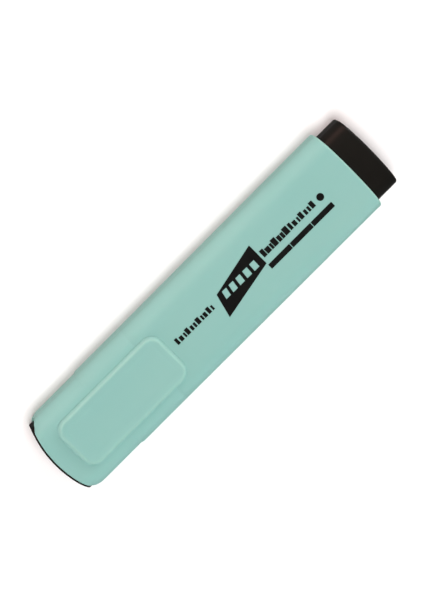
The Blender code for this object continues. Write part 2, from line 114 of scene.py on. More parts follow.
# Nose piece and nib
NOSE_TIP_LENGTH = 0.0050
NOSE_TIP_ROUND = 0.0006
SEAL_LAND = (0.0070, 0.0052, 0.0027)  # its half width, half depth and corner
SEAL_LAND_LENGTH = 0.0030
NOSE_TAPER_LENGTH = 0.0040
NOSE_TAPER_FLARE = 0.0009
NOSE_WALL = 0.0015
SKIRT_WALL = 0.0012
SKIRT_POCKET = 0.0048
VENT_WIDTH = 0.0010
VENT_DEPTH = 0.0007
NIB_CORNER = 0.0008
NIB_SLANT = 0.0024
NIB_BEVEL_LENGTH = 0.0032
NIB_BEVEL_RUN_OUT = 0.0010
NIB_EDGE_THICKNESS = 0.0012
NIB_EDGE_ROUND = 0.0004

# Print on the barrel
INK_LIFT = 0.000006
INK_THICKNESS = 0.000018
PANEL_X = (0.0022, 0.0189)
PANEL_Y = (-0.0012, 0.0022)  # of its middle, at its two ends
PANEL_HEIGHT = 0.0070
PANEL_LEAN = 0.25
PANEL_MARGIN = 0.0014
PANEL_WINDOWS = 5
WINDOW_SHARES = (0.18, 0.82)  # of a window's pitch, where it starts and ends
WINDOW_Y = (-0.0005, 0.0019)
BAR_SPANS = ((0.0189, 0.0270), (0.0272, 0.0351), (0.0353, 0.0433))
BAR_Y = -0.0027
BAR_HEIGHT = 0.0016
MARK_ROWS = (  # start x, end x, base y, height, inked share of the pitch, count
    (-0.0140, 0.0004, -0.0001, 0.0015, 0.70, 11),
    (0.0196, 0.0300, 0.0002, 0.0018, 0.86, 7),
    (0.0301, 0.0402, 0.0003, 0.0016, 0.70, 7),
)
MARK_UNEVENNESS = 0.35
MARK_RHYTHM = 2.4
TALL_MARK = 1.3  # height of every third mark, as a multiple of the others'
TALL_MARK_EVERY = 3
DOT_CENTRE = (0.0421, 0.0012)
DOT_RADIUS = 0.0011

# Smoothness
CORNER_STEPS = 16
FLAT_STEPS = 24
SIDE_STEPS = 5
FILLET_STEPS = 6
EDGE_STEPS = 3
NOSE_TIP_STEPS = 4
NOSE_STEPS = 4
CURVE_STEPS = 14
BARREL_STEPS = 12
PLUG_STEPS = 6
SLEEVE_STEPS = 5
SLEEVE_NOSE_STEPS = 4
SHOULDER_STEPS = 16
NIB_STEPS = 12
DOT_STEPS = 40
HALVINGS = 40  # of the search for where the cap's shoulder meets its end
SMOOTH_ANGLE = math.radians(32)

# ---------------------------------------------------------------- places and sections read from the frame

barrel_low, barrel_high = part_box("barrel")
plug_low, plug_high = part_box("rear_plug")
cap_low, cap_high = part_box("cap_shell")
insert_low, insert_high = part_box("cap_end_insert")
clip_low, clip_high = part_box("clip")
nose_low, nose_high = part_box("nib_section")
nib_low, nib_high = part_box("nib")

mid_z = (barrel_low.z + barrel_high.z) / 2
half_depth = barrel_high.z - mid_z
mouth_x = cap_high.x
shoulder_x = mouth_x + FIT_GAP
rear_x = barrel_high.x
plug_inner_x = plug_low.x
plug_tip_x = plug_high.x
shell_end_x = cap_low.x + LIP_EXTRA


def inside(section, wall):
    """The half section (width, depth, corner) a wall further in."""
    return tuple(size - wall for size in section)


def arc_drop(radius, offset):
    """How far an arc of this radius falls away at this distance from its middle."""
    return radius - np.sqrt(radius * radius - offset * offset)


def eased(share):
    """A smooth rise from 0 to 1."""
    return share * share * (3 - 2 * share)


def bow_radius(bow, half_width):
    """The radius of an arc that bows this much over this half width."""
    return (half_width * half_width + bow * bow) / (2 * bow)


rear_section = (barrel_high.y, half_depth, EDGE_RADIUS)
mouth_section = (cap_high.y, half_depth, EDGE_RADIUS)
cap_nose_section = (mouth_section[0] - CAP_STEP, half_depth, EDGE_RADIUS)
cap_end_section = (cap_nose_section[0] - CAP_SHOULDER_DROP, half_depth, EDGE_RADIUS)
cap_mouth_cavity = inside(mouth_section, CAP_WALL)
cap_nose_cavity = inside(cap_nose_section, CAP_WALL)
cap_end_cavity = inside(cap_end_section, CAP_WALL)
neck_section = inside(cap_mouth_cavity, FIT_GAP)
neck_bore = inside(neck_section, NECK_WALL)
barrel_front_cavity = inside(mouth_section, BARREL_WALL)
barrel_rear_cavity = inside(rear_section, BARREL_WALL)
plug_section = inside(barrel_rear_cavity, FIT_GAP)
plug_cavity = inside(plug_section, PLUG_WALL)
insert_core_section = inside(cap_end_cavity, FIT_GAP)
insert_head_half_width = cap_end_section[0] - EAR_SETBACK

side_end_x = shell_end_x + arc_drop(CAP_END_RADIUS, cap_end_section[0])
cap_step_x = mouth_x - CAP_STEP_FROM_MOUTH
notch_centre_x = side_end_x + NOTCH_DEPTH - NOTCH_RADIUS

# ---------------------------------------------------------------- rounded sections and lofts


def outline(section):
    """Points (across, up) round a rounded rectangle. The second half mirrors the first, in reverse."""
    half_width, half_height, corner = section
    flat_width = half_width - corner
    flat_height = half_height - corner
    upper = [(half_width, flat_height * (step + 0.5) / SIDE_STEPS) for step in range(SIDE_STEPS)]
    for step in range(CORNER_STEPS + 1):
        angle = math.pi / 2 * step / CORNER_STEPS
        upper.append((flat_width + corner * math.cos(angle), flat_height + corner * math.sin(angle)))
    half = FLAT_STEPS // 2
    top = [(flat_width * (1 - step / half), half_height) for step in range(1, half)]
    upper += top
    middle = [(0.0, half_height)]
    upper_left = [(-across, up) for across, up in reversed(upper)]
    chain = np.array(upper + middle + upper_left)
    return np.concatenate([chain, chain[::-1] * (1, -1)])


def ring(x, section, bow=None, direction=0):
    """A section's points at x, which may be one place or one for each point, bowed across if asked."""
    flat = outline(section)
    places = np.full(len(flat), 0.0) + x
    if bow:
        places = places + direction * arc_drop(bow, flat[:, 0])
    return np.column_stack([places, flat[:, 0], flat[:, 1] + mid_z])


def quarter(radius, steps=FILLET_STEPS):
    """Steps of a quarter round as (setback from the end, draw-in from the side), side to end."""
    angles = np.linspace(0, math.pi / 2, steps + 1)
    return [(radius * (1 - math.sin(angle)), radius * (1 - math.cos(angle))) for angle in angles]


def skin(name, rings, closed=False):
    """A solid from rings with equal numbers of points: a loop of rings, or a stack with both ends closed."""
    bm = bmesh.new()
    rows = [[bm.verts.new(point) for point in points] for points in rings]
    count = len(rows[0])
    pairs = list(zip(rows, rows[1:]))
    if closed:
        pairs.append((rows[-1], rows[0]))
    for row, following in pairs:
        for i in range(count):
            j = (i + 1) % count
            bm.faces.new((row[i], row[j], following[j], following[i]))
    if not closed:
        close_end(bm, rows[0])
        close_end(bm, rows[-1])
    bmesh.ops.recalc_face_normals(bm, faces=bm.faces)
    return mesh_object(name, bm)


def close_end(bm, row):
    """Closes an end with strips between a ring's mirrored halves; its straight sides make one face each."""
    half = len(row) // 2
    upper = row[:half]
    lower = row[half:][::-1]
    side = SIDE_STEPS
    bm.faces.new(upper[: side + 2] + lower[: side + 2][::-1])
    for i in range(side + 1, half - side - 2):
        bm.faces.new((upper[i], upper[i + 1], lower[i + 1], lower[i]))
    bm.faces.new(upper[half - side - 2 :] + lower[half - side - 2 :][::-1])


def mesh_object(name, bm):
    """An object in the scene from a finished bmesh, smooth except at its sharp edges."""
    mesh = bpy.data.meshes.new(name)
    bm.to_mesh(mesh)
    bm.free()
    mesh.polygons.foreach_set("use_smooth", [True] * len(mesh.polygons))
    mesh.set_sharp_from_angle(angle=SMOOTH_ANGLE)
    obj = bpy.data.objects.new(name, mesh)
    bpy.context.scene.collection.objects.link(obj)
    return obj


def between(start, end, steps):
    """Rings evenly between two rings, without the two themselves."""
    return [start + (end - start) * step / steps for step in range(1, steps)]


def paint_edge_highlight(obj, rings_in, values):
    """Gives the piece's mesh a point attribute for painted highlight, with one value for each of its rings.
    """
    per_point = np.repeat(np.asarray(values, dtype=np.float32), len(rings_in[0]))
    obj.data.attributes.new("painted_highlight", "FLOAT", "POINT").data.foreach_set("value", per_point)


def finish_piece(obj, body, nodes, look):
    """Gives the piece its look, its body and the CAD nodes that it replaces."""
    obj.data.materials.append(look)
    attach(obj, body)
    if nodes:
        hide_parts(*nodes)


# ---------------------------------------------------------------- materials

MINT_DEEP = (0.229, 0.447, 0.408)
MINT_PALE = (0.252, 0.463, 0.418)
# a paler mint, the painted highlight colour for rounded edges that catch the light
MINT_PAINTED_HIGHLIGHT = (0.278, 0.497, 0.436)
PLUG_BLACK_DEEP = (0.0050, 0.0045, 0.0036)
PLUG_BLACK_PALE = (0.0080, 0.0070, 0.0055)
INSERT_BLACK_DEEP = (0.0050, 0.0046, 0.0040)
INSERT_BLACK_PALE = (0.0085, 0.0078, 0.0066)
MILKY_DEEP = (0.70, 0.72, 0.70)
MILKY_PALE = (0.80, 0.81, 0.78)
NIB_DEEP = (0.16, 0.46, 0.39)
NIB_PALE = (0.36, 0.70, 0.61)
FILLER_DEEP = (0.14, 0.42, 0.35)
FILLER_PALE = (0.42, 0.72, 0.64)
FILM_DEEP = (0.70, 0.78, 0.77)
FILM_PALE = (0.84, 0.88, 0.88)
INK_DEEP = (0.0030, 0.0032, 0.0030)
INK_PALE = (0.0060, 0.0062, 0.0058)
FLOOR_WHITE = (0.90, 0.90, 0.90)
WHITE = (1.0, 1.0, 1.0)
BLACK = (0.0, 0.0, 0.0)


class Nodes:
    """A material's node tree, with short calls for the nodes that the looks here share."""

    def __init__(self, name):
        self.material = bpy.data.materials.new(name)
        self.material.use_nodes = True
        self.tree = self.material.node_tree
        self.shader = self.tree.nodes["Principled BSDF"]
        self.place = self.tree.nodes.new("ShaderNodeTexCoord").outputs["Object"]

    def link(self, source, target):
        self.tree.links.new(source, target)

    def stretched(self, scale):
        node = self.tree.nodes.new("ShaderNodeMapping")
        node.inputs["Scale"].default_value = scale
        self.link(self.place, node.inputs["Vector"])
        return node.outputs["Vector"]

    def noise(self, scale, detail, place=None, roughness=0.5):
        node = self.tree.nodes.new("ShaderNodeTexNoise")
        node.inputs["Scale"].default_value = scale
        node.inputs["Detail"].default_value = detail
        node.inputs["Roughness"].default_value = roughness
        self.link(place or self.place, node.inputs["Vector"])
        return node.outputs["Fac"]

    def ranged(self, source, low, high, start=0.3, end=0.7):
        node = self.tree.nodes.new("ShaderNodeMapRange")
        node.inputs["From Min"].default_value = start
        node.inputs["From Max"].default_value = end
        node.inputs["To Min"].default_value = low
        node.inputs["To Max"].default_value = high
        self.link(source, node.inputs["Value"])
        return node.outputs["Result"]

    def colours(self, source, low, high, start=0.3, end=0.7):
        node = self.tree.nodes.new("ShaderNodeValToRGB")
        node.color_ramp.elements[0].position = start
        node.color_ramp.elements[0].color = (*low, 1)
        node.color_ramp.elements[1].position = end
        node.color_ramp.elements[1].color = (*high, 1)
        self.link(source, node.inputs["Fac"])
        self.link(node.outputs["Color"], self.shader.inputs["Base Color"])
        return node.outputs["Color"]

    def roughness(self, source, low, high):
        self.link(self.ranged(source, low, high), self.shader.inputs["Roughness"])

    def bump(self, source, depth, strength):
        node = self.tree.nodes.new("ShaderNodeBump")
        node.inputs["Strength"].default_value = strength
        node.inputs["Distance"].default_value = depth
        self.link(source, node.inputs["Height"])
        self.link(node.outputs["Normal"], self.shader.inputs["Normal"])

    def light_through(self, weight, radius, scale):
        self.shader.inputs["Subsurface Weight"].default_value = weight
        self.shader.inputs["Subsurface Radius"].default_value = radius
        self.shader.inputs["Subsurface Scale"].default_value = scale


def mint_plastic(name="mint_plastic_look", painted_edge_highlight=False):
    """Satin moulded polypropylene: faint flow clouds, a fine grain and a little light through its skin.

    With the edge option it mixes a paler mint into its colour where the mesh's attribute marks edges: a
    painted highlight where rounded edges catch the light."""
    look = Nodes(name)
    clouds = look.noise(scale=38.0, detail=3.0, place=look.stretched((0.5, 1.0, 1.0)))
    body = look.colours(clouds, MINT_DEEP, MINT_PALE)
    if painted_edge_highlight:
        # painted highlight: a paler mint mixed into the base colour along the edges that the mesh's
        # attribute marks
        painted_highlight = look.tree.nodes.new("ShaderNodeAttribute")
        painted_highlight.attribute_name = "painted_highlight"
        mix = look.tree.nodes.new("ShaderNodeMix")
        mix.data_type = "RGBA"
        # a mix node repeats its sockets' names for every data type, so its colours go by number
        look.link(painted_highlight.outputs["Fac"], mix.inputs[0])
        look.link(body, mix.inputs[6])
        mix.inputs[7].default_value = (*MINT_PAINTED_HIGHLIGHT, 1)
        look.link(mix.outputs[2], look.shader.inputs["Base Color"])
    look.roughness(look.noise(scale=420.0, detail=4.0), low=0.30, high=0.38)
    look.bump(look.noise(scale=2600.0, detail=3.0), depth=0.000008, strength=0.35)
    look.light_through(weight=0.12, radius=(0.5, 1.0, 0.8), scale=0.0012)
    look.shader.inputs["IOR"].default_value = 1.49
    look.shader.inputs["Specular IOR Level"].default_value = 0.25
    return look.material


def black_plastic():
    """Semi-gloss black polypropylene with a warm cast and soft unevenness in its gloss."""
    look = Nodes("black_plastic_look")
    look.colours(look.noise(scale=60.0, detail=3.0), PLUG_BLACK_DEEP, PLUG_BLACK_PALE)
    look.roughness(look.noise(scale=300.0, detail=4.0), low=0.36, high=0.44)
    look.bump(look.noise(scale=1800.0, detail=2.0), depth=0.000006, strength=0.3)
    look.shader.inputs["IOR"].default_value = 1.38
    return look.material


def black_insert():
    """The cap end's black plastic, duller than the plug's."""
    look = Nodes("black_insert_look")
    look.colours(look.noise(scale=90.0, detail=3.0), INSERT_BLACK_DEEP, INSERT_BLACK_PALE)
    look.roughness(look.noise(scale=420.0, detail=4.0), low=0.46, high=0.56)
    look.bump(look.noise(scale=2200.0, detail=2.0), depth=0.000006, strength=0.3)
    look.shader.inputs["IOR"].default_value = 1.38
    return look.material


def natural_plastic():
    """Unpigmented polyethylene: milky and slightly waxy."""
    look = Nodes("natural_plastic_look")
    look.colours(look.noise(scale=70.0, detail=3.0), MILKY_DEEP, MILKY_PALE)
    look.roughness(look.noise(scale=500.0, detail=3.0), low=0.38, high=0.52)
    look.bump(look.noise(scale=2200.0, detail=2.0), depth=0.000006, strength=0.3)
    look.light_through(weight=0.25, radius=(1.0, 1.0, 1.0), scale=0.0015)
    return look.material


def nib_fibre():
    """Bonded polyester fibre soaked in mint ink: fine fibres that run along the nib."""
    look = Nodes("nib_fibre_look")
    fibres = look.noise(scale=900.0, detail=5.0, place=look.stretched((0.12, 1.0, 1.0)), roughness=0.7)
    look.colours(fibres, NIB_DEEP, NIB_PALE, 0.32, 0.68)
    look.roughness(fibres, low=0.78, high=0.95)
    look.bump(fibres, depth=0.00006, strength=0.8)
    return look.material


def filler_fibre():
    """The ink filler's loose fibre, wet with mint ink."""
    look = Nodes("filler_fibre_look")
    fibres = look.noise(scale=520.0, detail=6.0, place=look.stretched((0.08, 1.0, 1.0)), roughness=0.75)
    look.colours(fibres, FILLER_DEEP, FILLER_PALE)
    look.roughness(fibres, low=0.82, high=0.97)
    look.bump(fibres, depth=0.00010, strength=0.9)
    return look.material


def film():
    """The thin wrinkled film round the filler."""
    look = Nodes("film_look")
    wrinkles = look.noise(scale=160.0, detail=4.0, place=look.stretched((0.4, 1.0, 1.0)))
    look.colours(wrinkles, FILM_DEEP, FILM_PALE)
    look.roughness(wrinkles, low=0.14, high=0.24)
    look.bump(wrinkles, depth=0.00005, strength=0.5)
    look.shader.inputs["Transmission Weight"].default_value = 0.35
    return look.material


def black_ink():
    """Pad-printed ink: dense, satin, with slightly uneven cover."""
    look = Nodes("black_ink_look")
    look.colours(look.noise(scale=240.0, detail=4.0), INK_DEEP, INK_PALE)
    look.roughness(look.noise(scale=700.0, detail=3.0), low=0.45, high=0.60)
    look.bump(look.noise(scale=3000.0, detail=2.0), depth=0.000004, strength=0.3)
    look.shader.inputs["IOR"].default_value = 1.33
    return look.material


mint = mint_plastic()
# the same mint with a painted highlight on its rounded edges
highlighted_mint = mint_plastic("mint_plastic_painted_highlight_look", painted_edge_highlight=True)
black = black_plastic()
dull_black = black_insert()
natural = natural_plastic()
felt = nib_fibre()
filler = filler_fibre()
clear_film = film()
ink = black_ink()

# ---------------------------------------------------------------- barrel and plug


def bead(rings, centre_x, width, height, section):
    """Adds the rings of a low rounded bead round a section."""
    for step in range(FILLET_STEPS + 1):
        share = step / FILLET_STEPS
        lift = height * math.sin(math.pi * share) ** 2
        rings.append(ring(centre_x + width * (share - 0.5), inside(section, -lift)))


def make_barrel():
    """A shell that is necked at the front and open at the rear, with a low bead on its neck."""
    bow = bow_radius(REAR_BOW, rear_section[0])
    rings = []
    for setback, draw_in in reversed(quarter(NECK_LEAD, EDGE_STEPS)):
        rings.append(ring(barrel_low.x + setback, inside(neck_section, draw_in)))
    bead_x = shoulder_x - NECK_BEAD_FROM_SHOULDER - NECK_BEAD_WIDTH / 2
    bead(rings, bead_x, NECK_BEAD_WIDTH, NECK_BEAD, neck_section)
    rings.append(ring(shoulder_x, neck_section))
    for setback, draw_in in reversed(quarter(SEAM_EDGE, EDGE_STEPS)):
        rings.append(ring(shoulder_x + setback, inside(mouth_section, draw_in)))

    side = ring(shoulder_x + SEAM_EDGE, mouth_section)
    rear_side = ring(rear_x - REAR_FILLET, rear_section, bow, -1)
    rings += between(side, rear_side, BARREL_STEPS)
    first_rim = len(rings)
    for setback, draw_in in quarter(REAR_FILLET):
        rings.append(ring(rear_x - setback, inside(rear_section, draw_in), bow, -1))
    rings.append(ring(rear_x - EDGE_BREAK / 2, inside(barrel_rear_cavity, -EDGE_BREAK / 2), bow, -1))
    last_rim = len(rings)
    rings.append(ring(rear_x - EDGE_BREAK * 2, barrel_rear_cavity, bow, -1))
    rings.append(ring(rear_x - PLUG_DEPTH, barrel_rear_cavity))
    rings.append(ring(shoulder_x + CAVITY_STEP_START + CAVITY_STEP_LENGTH, barrel_front_cavity))
    rings.append(ring(shoulder_x + CAVITY_STEP_START, neck_bore))
    rings.append(ring(barrel_low.x, neck_bore))
    barrel = skin("barrel_visual", rings, closed=True)
    # painted highlight along the rounding of the barrel's rear edge
    paint_edge_highlight(barrel, rings, [float(first_rim + 1 < i < last_rim) for i in range(len(rings))])
    finish_piece(barrel, "pen", ["barrel"], highlighted_mint)


def make_rear_plug():
    """A hollow plug with a bowed, rounded end."""
    bow = bow_radius(PLUG_BOW, plug_section[0])
    cavity_end_x = plug_tip_x - PLUG_BOW - PLUG_END_WALL
    rings = [ring(cavity_end_x, inside(plug_cavity, EDGE_BREAK))]
    rings.append(ring(cavity_end_x - EDGE_BREAK, plug_cavity))
    rings.append(ring(plug_inner_x, plug_cavity))
    rings.append(ring(plug_inner_x, inside(plug_section, FIT_GAP)))
    rings.append(ring(plug_inner_x + FIT_GAP, plug_section))
    side = ring(rear_x - PLUG_DEPTH / 2, plug_section)
    rings.append(side)
    rings += between(side, ring(plug_tip_x - PLUG_FILLET, plug_section, bow, -1), PLUG_STEPS)
    for setback, draw_in in quarter(PLUG_FILLET):
        rings.append(ring(plug_tip_x - setback, inside(plug_section, draw_in), bow, -1))
    finish_piece(skin("rear_plug_visual", rings), "pen", ["rear_plug"], black)


# ---------------------------------------------------------------- cap


def shoulder_ring(share):
    """The cap's outside where its sides draw in by this share, one share for each point."""
    share = np.maximum(share, LEAST_BOW_SHARE)
    flat = outline(cap_nose_section)
    half_width = cap_nose_section[0] - CAP_SHOULDER_DROP * share * share
    across = flat[:, 0] * half_width / cap_nose_section[0]
    radius = CAP_END_RADIUS / share
    side_x = side_end_x + CAP_SHOULDER_LENGTH * (1 - share)
    x = side_x - arc_drop(radius, half_width) + arc_drop(radius, across)
    return np.column_stack([x, across, flat[:, 1] + mid_z])


def notch_share():
    """For each point of a ring, how fully the side notch cuts there: 1 at the sides, 0 over the top."""
    flat = outline(cap_end_section)
    fade = (NOTCH_LAST_HEIGHT - np.abs(flat[:, 1])) / (NOTCH_LAST_HEIGHT - NOTCH_FULL_HEIGHT)
    return eased(np.clip(fade, 0, 1))


def notch_x(height, gap=0.0):
    """The side notch's edge at this height from the middle: a circle seen from the side."""
    radius = NOTCH_RADIUS - gap
    height = np.minimum(np.abs(height), radius * NOTCH_REACH_SHARE)
    return notch_centre_x + np.sqrt(radius * radius - height * height)


def rim_x(across, height, share):
    """The cap shell's end: an arc seen from the front, cut back by the side notches."""
    arc_x = shell_end_x + arc_drop(CAP_END_RADIUS, across)
    return arc_x + share * np.maximum(notch_x(height) - arc_x, 0)


def make_cap_shell():
    """A sleeve with a small step in its sides, a shoulder and a curved end that the notches cut back."""
    cut = notch_share()
    lip_x = shoulder_x - SEAM
    rings = []
    for setback, draw_in in reversed(quarter(SEAM_EDGE, EDGE_STEPS)):
        rings.append(ring(lip_x - setback, inside(mouth_section, draw_in)))
    rings += between(rings[-1], ring(cap_step_x + CAP_STEP_LENGTH, mouth_section), SLEEVE_STEPS)
    for step in range(FILLET_STEPS + 1):
        share = step / FILLET_STEPS
        half_width = mouth_section[0] - CAP_STEP * eased(share)
        rings.append(ring(cap_step_x + CAP_STEP_LENGTH * (1 - share), (half_width, half_depth, EDGE_RADIUS)))

    # how far along the shoulder each point's line reaches the end's curve or notch, found by halving
    low = np.zeros(len(cut))
    high = np.ones(len(cut))
    for _ in range(HALVINGS):
        middle = (low + high) / 2
        points = shoulder_ring(middle)
        beyond = points[:, 0] < rim_x(points[:, 1], points[:, 2] - mid_z, cut)
        high = np.where(beyond, middle, high)
        low = np.where(beyond, low, middle)
    rings += between(rings[-1], shoulder_ring(np.zeros(len(cut))), SLEEVE_NOSE_STEPS)
    for step in range(SHOULDER_STEPS + 1):
        rings.append(shoulder_ring(low * step / SHOULDER_STEPS))

    outer = rings.pop()
    inner = outline(cap_end_cavity)
    inner_points = np.column_stack([rim_x(inner[:, 0], inner[:, 1], cut), inner[:, 0], inner[:, 1] + mid_z])
    inward = inner_points - outer
    inward /= np.linalg.norm(inward, axis=1)[:, None]
    back = rings[-1] - outer
    back /= np.linalg.norm(back, axis=1)[:, None]
    for setback, draw_in in quarter(EDGE_BREAK, EDGE_STEPS):
        rings.append(outer + back * setback + inward * draw_in)
    rings.append(inner_points)
    rings.append(ring(side_end_x + CAP_SHOULDER_LENGTH, cap_nose_cavity))
    flange_x = nose_low.x + NOSE_TIP_LENGTH + SEAL_LAND_LENGTH + NOSE_TAPER_LENGTH
    rings.append(ring(flange_x - FLANGE_CLEARANCE - CAP_CAVITY_STEP, cap_nose_cavity))
    rings.append(ring(flange_x - FLANGE_CLEARANCE, cap_mouth_cavity))
    rings.append(ring(lip_x, cap_mouth_cavity))
    finish_piece(skin("cap_shell_visual", rings, closed=True), "cap", ["cap_shell"], mint)


def make_cap_end_insert():
    """The core that closes the cap's end, with an ear on each side that fills the shell's notch."""
    ear = notch_share()
    core = outline(insert_core_section)
    reach = ear * (insert_head_half_width - insert_core_section[0]) * np.sign(core[:, 0])
    tip_x = insert_low.x + arc_drop(CAP_END_RADIUS, core[:, 0] + reach)
    ear_x = tip_x + np.maximum(ear * (notch_x(core[:, 1], FIT_GAP) - tip_x), INSERT_HEAD_LEAST)

    def layer(x, out_share):
        return np.column_stack([x, core[:, 0] + reach * out_share, core[:, 1] + mid_z])

    def end_ring(section, setback):
        return ring(insert_low.x + setback, section, CAP_END_RADIUS, 1)

    lip_thickness = shell_end_x - insert_low.x - SEAM
    lip_section = (insert_head_half_width, half_depth - INSERT_LIP_STEP, EDGE_RADIUS - INSERT_LIP_STEP)
    cavity_section = inside(insert_core_section, INSERT_WALL)
    plate_x = insert_low.x + INSERT_WALL
    rings = [
        ring(plate_x, inside(cavity_section, EDGE_BREAK), CAP_END_RADIUS, 1),
        ring(plate_x + EDGE_BREAK, cavity_section, CAP_END_RADIUS, 1),
        ring(insert_high.x, cavity_section),
        ring(insert_high.x, inside(insert_core_section, EDGE_BREAK)),
        ring(insert_high.x - EDGE_BREAK, insert_core_section),
        layer(ear_x + EDGE_BREAK, 0.0),
        layer(ear_x, EAR_EDGE_SHARE),
        layer(ear_x - EDGE_BREAK / 4, 1 - EAR_EDGE_SHARE),
        layer(ear_x - EDGE_BREAK, 1.0),
        layer(tip_x + lip_thickness, 1.0),
        end_ring(lip_section, lip_thickness),
    ]
    for setback, draw_in in quarter(LIP_FILLET, EDGE_STEPS):
        rings.append(end_ring(inside(lip_section, draw_in), setback))
    piece = skin("cap_end_insert_visual", rings)
    finish_piece(piece, "cap", ["cap_end_insert"], dull_black)


# ---------------------------------------------------------------- clip


def make_clip():
    """A thin pad with a rounded edge, a low crest round it and a shallow dish in its face."""
    centre_x = (clip_low.x + clip_high.x) / 2
    half_length = (clip_high.x - clip_low.x) / 2
    low_z = half_depth * 2 + CLIP_GAP
    high_z = clip_high.z
    turn = EDGE_BREAK * EDGE_BREAK_TURN
    levels = [(low_z, EDGE_BREAK), (low_z + turn, turn), (low_z + EDGE_BREAK, 0.0)]
    flank_z = low_z + CLIP_LIP
    for step in range(CURVE_STEPS + 1):
        share = step / CURVE_STEPS
        draw_in = CLIP_FLANK * share ** CLIP_FLANK_POWER
        levels.append((flank_z + (high_z - flank_z) * eased(share), draw_in))
    for step in range(1, CURVE_STEPS + 1):
        share = step / CURVE_STEPS
        draw_in = CLIP_FLANK + CLIP_RIM + CLIP_DISH_WIDTH * share
        levels.append((high_z - CLIP_DISH * eased(share), draw_in))
    rings = []
    for z, draw_in in levels:
        corner = max(CLIP_CORNER - draw_in, CLIP_LEAST_CORNER)
        flat = outline((half_length - draw_in, clip_high.y - draw_in, corner))
        rings.append(np.column_stack([flat[:, 0] + centre_x, flat[:, 1], np.full(len(flat), z)]))
    clip = skin("clip_visual", rings)
    # painted highlight: a paler band along the pad's rounded flank
    highlight_middle = CLIP_FLANK * CLIP_HIGHLIGHT_SHARE
    across_highlight = [(draw_in - highlight_middle) / CLIP_HIGHLIGHT_HALF_WIDTH for _, draw_in in levels]
    paint_edge_highlight(clip, rings, np.exp(-np.square(across_highlight)))
    finish_piece(clip, "clip_arm", ["clip"], highlighted_mint)


# ---------------------------------------------------------------- nose piece and nib


def make_nib_section():
    """The nose: a tip round the nib, a sealing land, a flange, and a skirt inside the neck."""
    nib_bore = (nib_high.y + FIT_GAP, nib_high.z - mid_z + FIT_GAP, NIB_CORNER + FIT_GAP)
    tip = inside(nib_bore, -NOSE_WALL)
    base = inside(SEAL_LAND, -NOSE_TAPER_FLARE)
    skirt = inside(neck_bore, FIT_GAP)
    tip_x = nose_low.x
    land_x = tip_x + NOSE_TIP_LENGTH
    land_rear_x = land_x + SEAL_LAND_LENGTH
    flange_x = land_rear_x + NOSE_TAPER_LENGTH
    flange_rear_x = barrel_low.x - SEAM
    pocket_x = nose_high.x - SKIRT_POCKET

    def bore(x):
        points = ring(x, nib_bore)
        slot = np.abs(points[:, 1]) < VENT_WIDTH / 2
        points[:, 2] += np.where(slot, np.sign(points[:, 2] - mid_z) * VENT_DEPTH, 0)
        return points

    rings = []
    for setback, draw_in in reversed(quarter(NOSE_TIP_ROUND, NOSE_TIP_STEPS)):
        rings.append(ring(tip_x + setback, inside(tip, draw_in)))
    land = ring(land_x, SEAL_LAND)
    rings += between(rings[-1], land, NOSE_STEPS)
    rings.append(land)
    rings.append(ring(land_rear_x, SEAL_LAND))
    rings.append(ring(flange_x - EDGE_BREAK, base))
    rings.append(ring(flange_x, inside(base, -EDGE_BREAK)))
    for setback, draw_in in reversed(quarter(EDGE_BREAK, EDGE_STEPS)):
        rings.append(ring(flange_x + setback, inside(neck_section, draw_in)))
    rings.append(ring(flange_rear_x, neck_section))
    rings.append(ring(flange_rear_x, skirt))
    rings.append(ring(nose_high.x, skirt))
    rings.append(ring(nose_high.x, inside(skirt, SKIRT_WALL)))
    rings.append(ring(pocket_x, inside(skirt, SKIRT_WALL)))
    rings.append(bore(pocket_x))
    rings.append(bore(tip_x))
    piece = skin("nib_section_visual", rings, closed=True)
    finish_piece(piece, "pen", ["nib_section"], black)


def make_nib():
    """A chisel: slanted across, wedged towards its edge, its corners worn a little round."""
    section = (nib_high.y, nib_high.z - mid_z, NIB_CORNER)
    flat = outline(section)
    edge_x = nib_low.x + NIB_SLANT * (flat[:, 0] + section[0]) / (2 * section[0])
    edge_half = NIB_EDGE_THICKNESS / 2
    rise = (section[1] - edge_half) / NIB_BEVEL_LENGTH

    def layer(x, shrink=0.0):
        half = np.minimum(edge_half + rise * (x - nib_low.x), section[1])
        up = flat[:, 1] / section[1] * (half - shrink)
        across = flat[:, 0] * (1 - shrink / section[0])
        return np.column_stack([x, across, up + mid_z])

    rings = [layer(edge_x + setback, draw_in) for setback, draw_in in reversed(quarter(NIB_EDGE_ROUND))]
    bevel = NIB_BEVEL_LENGTH + NIB_BEVEL_RUN_OUT
    for step in range(1, NIB_STEPS + 1):
        rings.append(layer(edge_x + NIB_EDGE_ROUND + bevel * step / NIB_STEPS))
    rings.append(layer(np.full(len(flat), nib_high.x)))
    finish_piece(skin("nib_visual", rings), "pen", ["nib"], felt)


# ---------------------------------------------------------------- print on the barrel's front


def add_slab(bm, points, cells):
    """A thin closed slab of ink whose cells share the given points; only its outer edges get walls."""
    low_z = half_depth * 2 + INK_LIFT
    low = [bm.verts.new((x, y, low_z)) for x, y in points]
    high = [bm.verts.new((x, y, low_z + INK_THICKNESS)) for x, y in points]
    edges = [(cell[i - 1], cell[i]) for cell in cells for i in range(len(cell))]
    for cell in cells:
        bm.faces.new([low[i] for i in reversed(cell)])
        bm.faces.new([high[i] for i in cell])
    for i, j in edges:
        if (j, i) not in edges:
            bm.faces.new((low[i], low[j], high[j], high[i]))


def add_block(bm, x_span, y_span):
    left, right = x_span
    low, high = y_span
    add_slab(bm, [(left, low), (right, low), (right, high), (left, high)], [(0, 1, 2, 3)])


def add_dot(bm, centre, radius):
    x, y = centre
    angles = np.linspace(0, 2 * math.pi, DOT_STEPS, endpoint=False)
    points = [(x + radius * math.cos(angle), y + radius * math.sin(angle)) for angle in angles]
    add_slab(bm, points, [tuple(range(DOT_STEPS))])


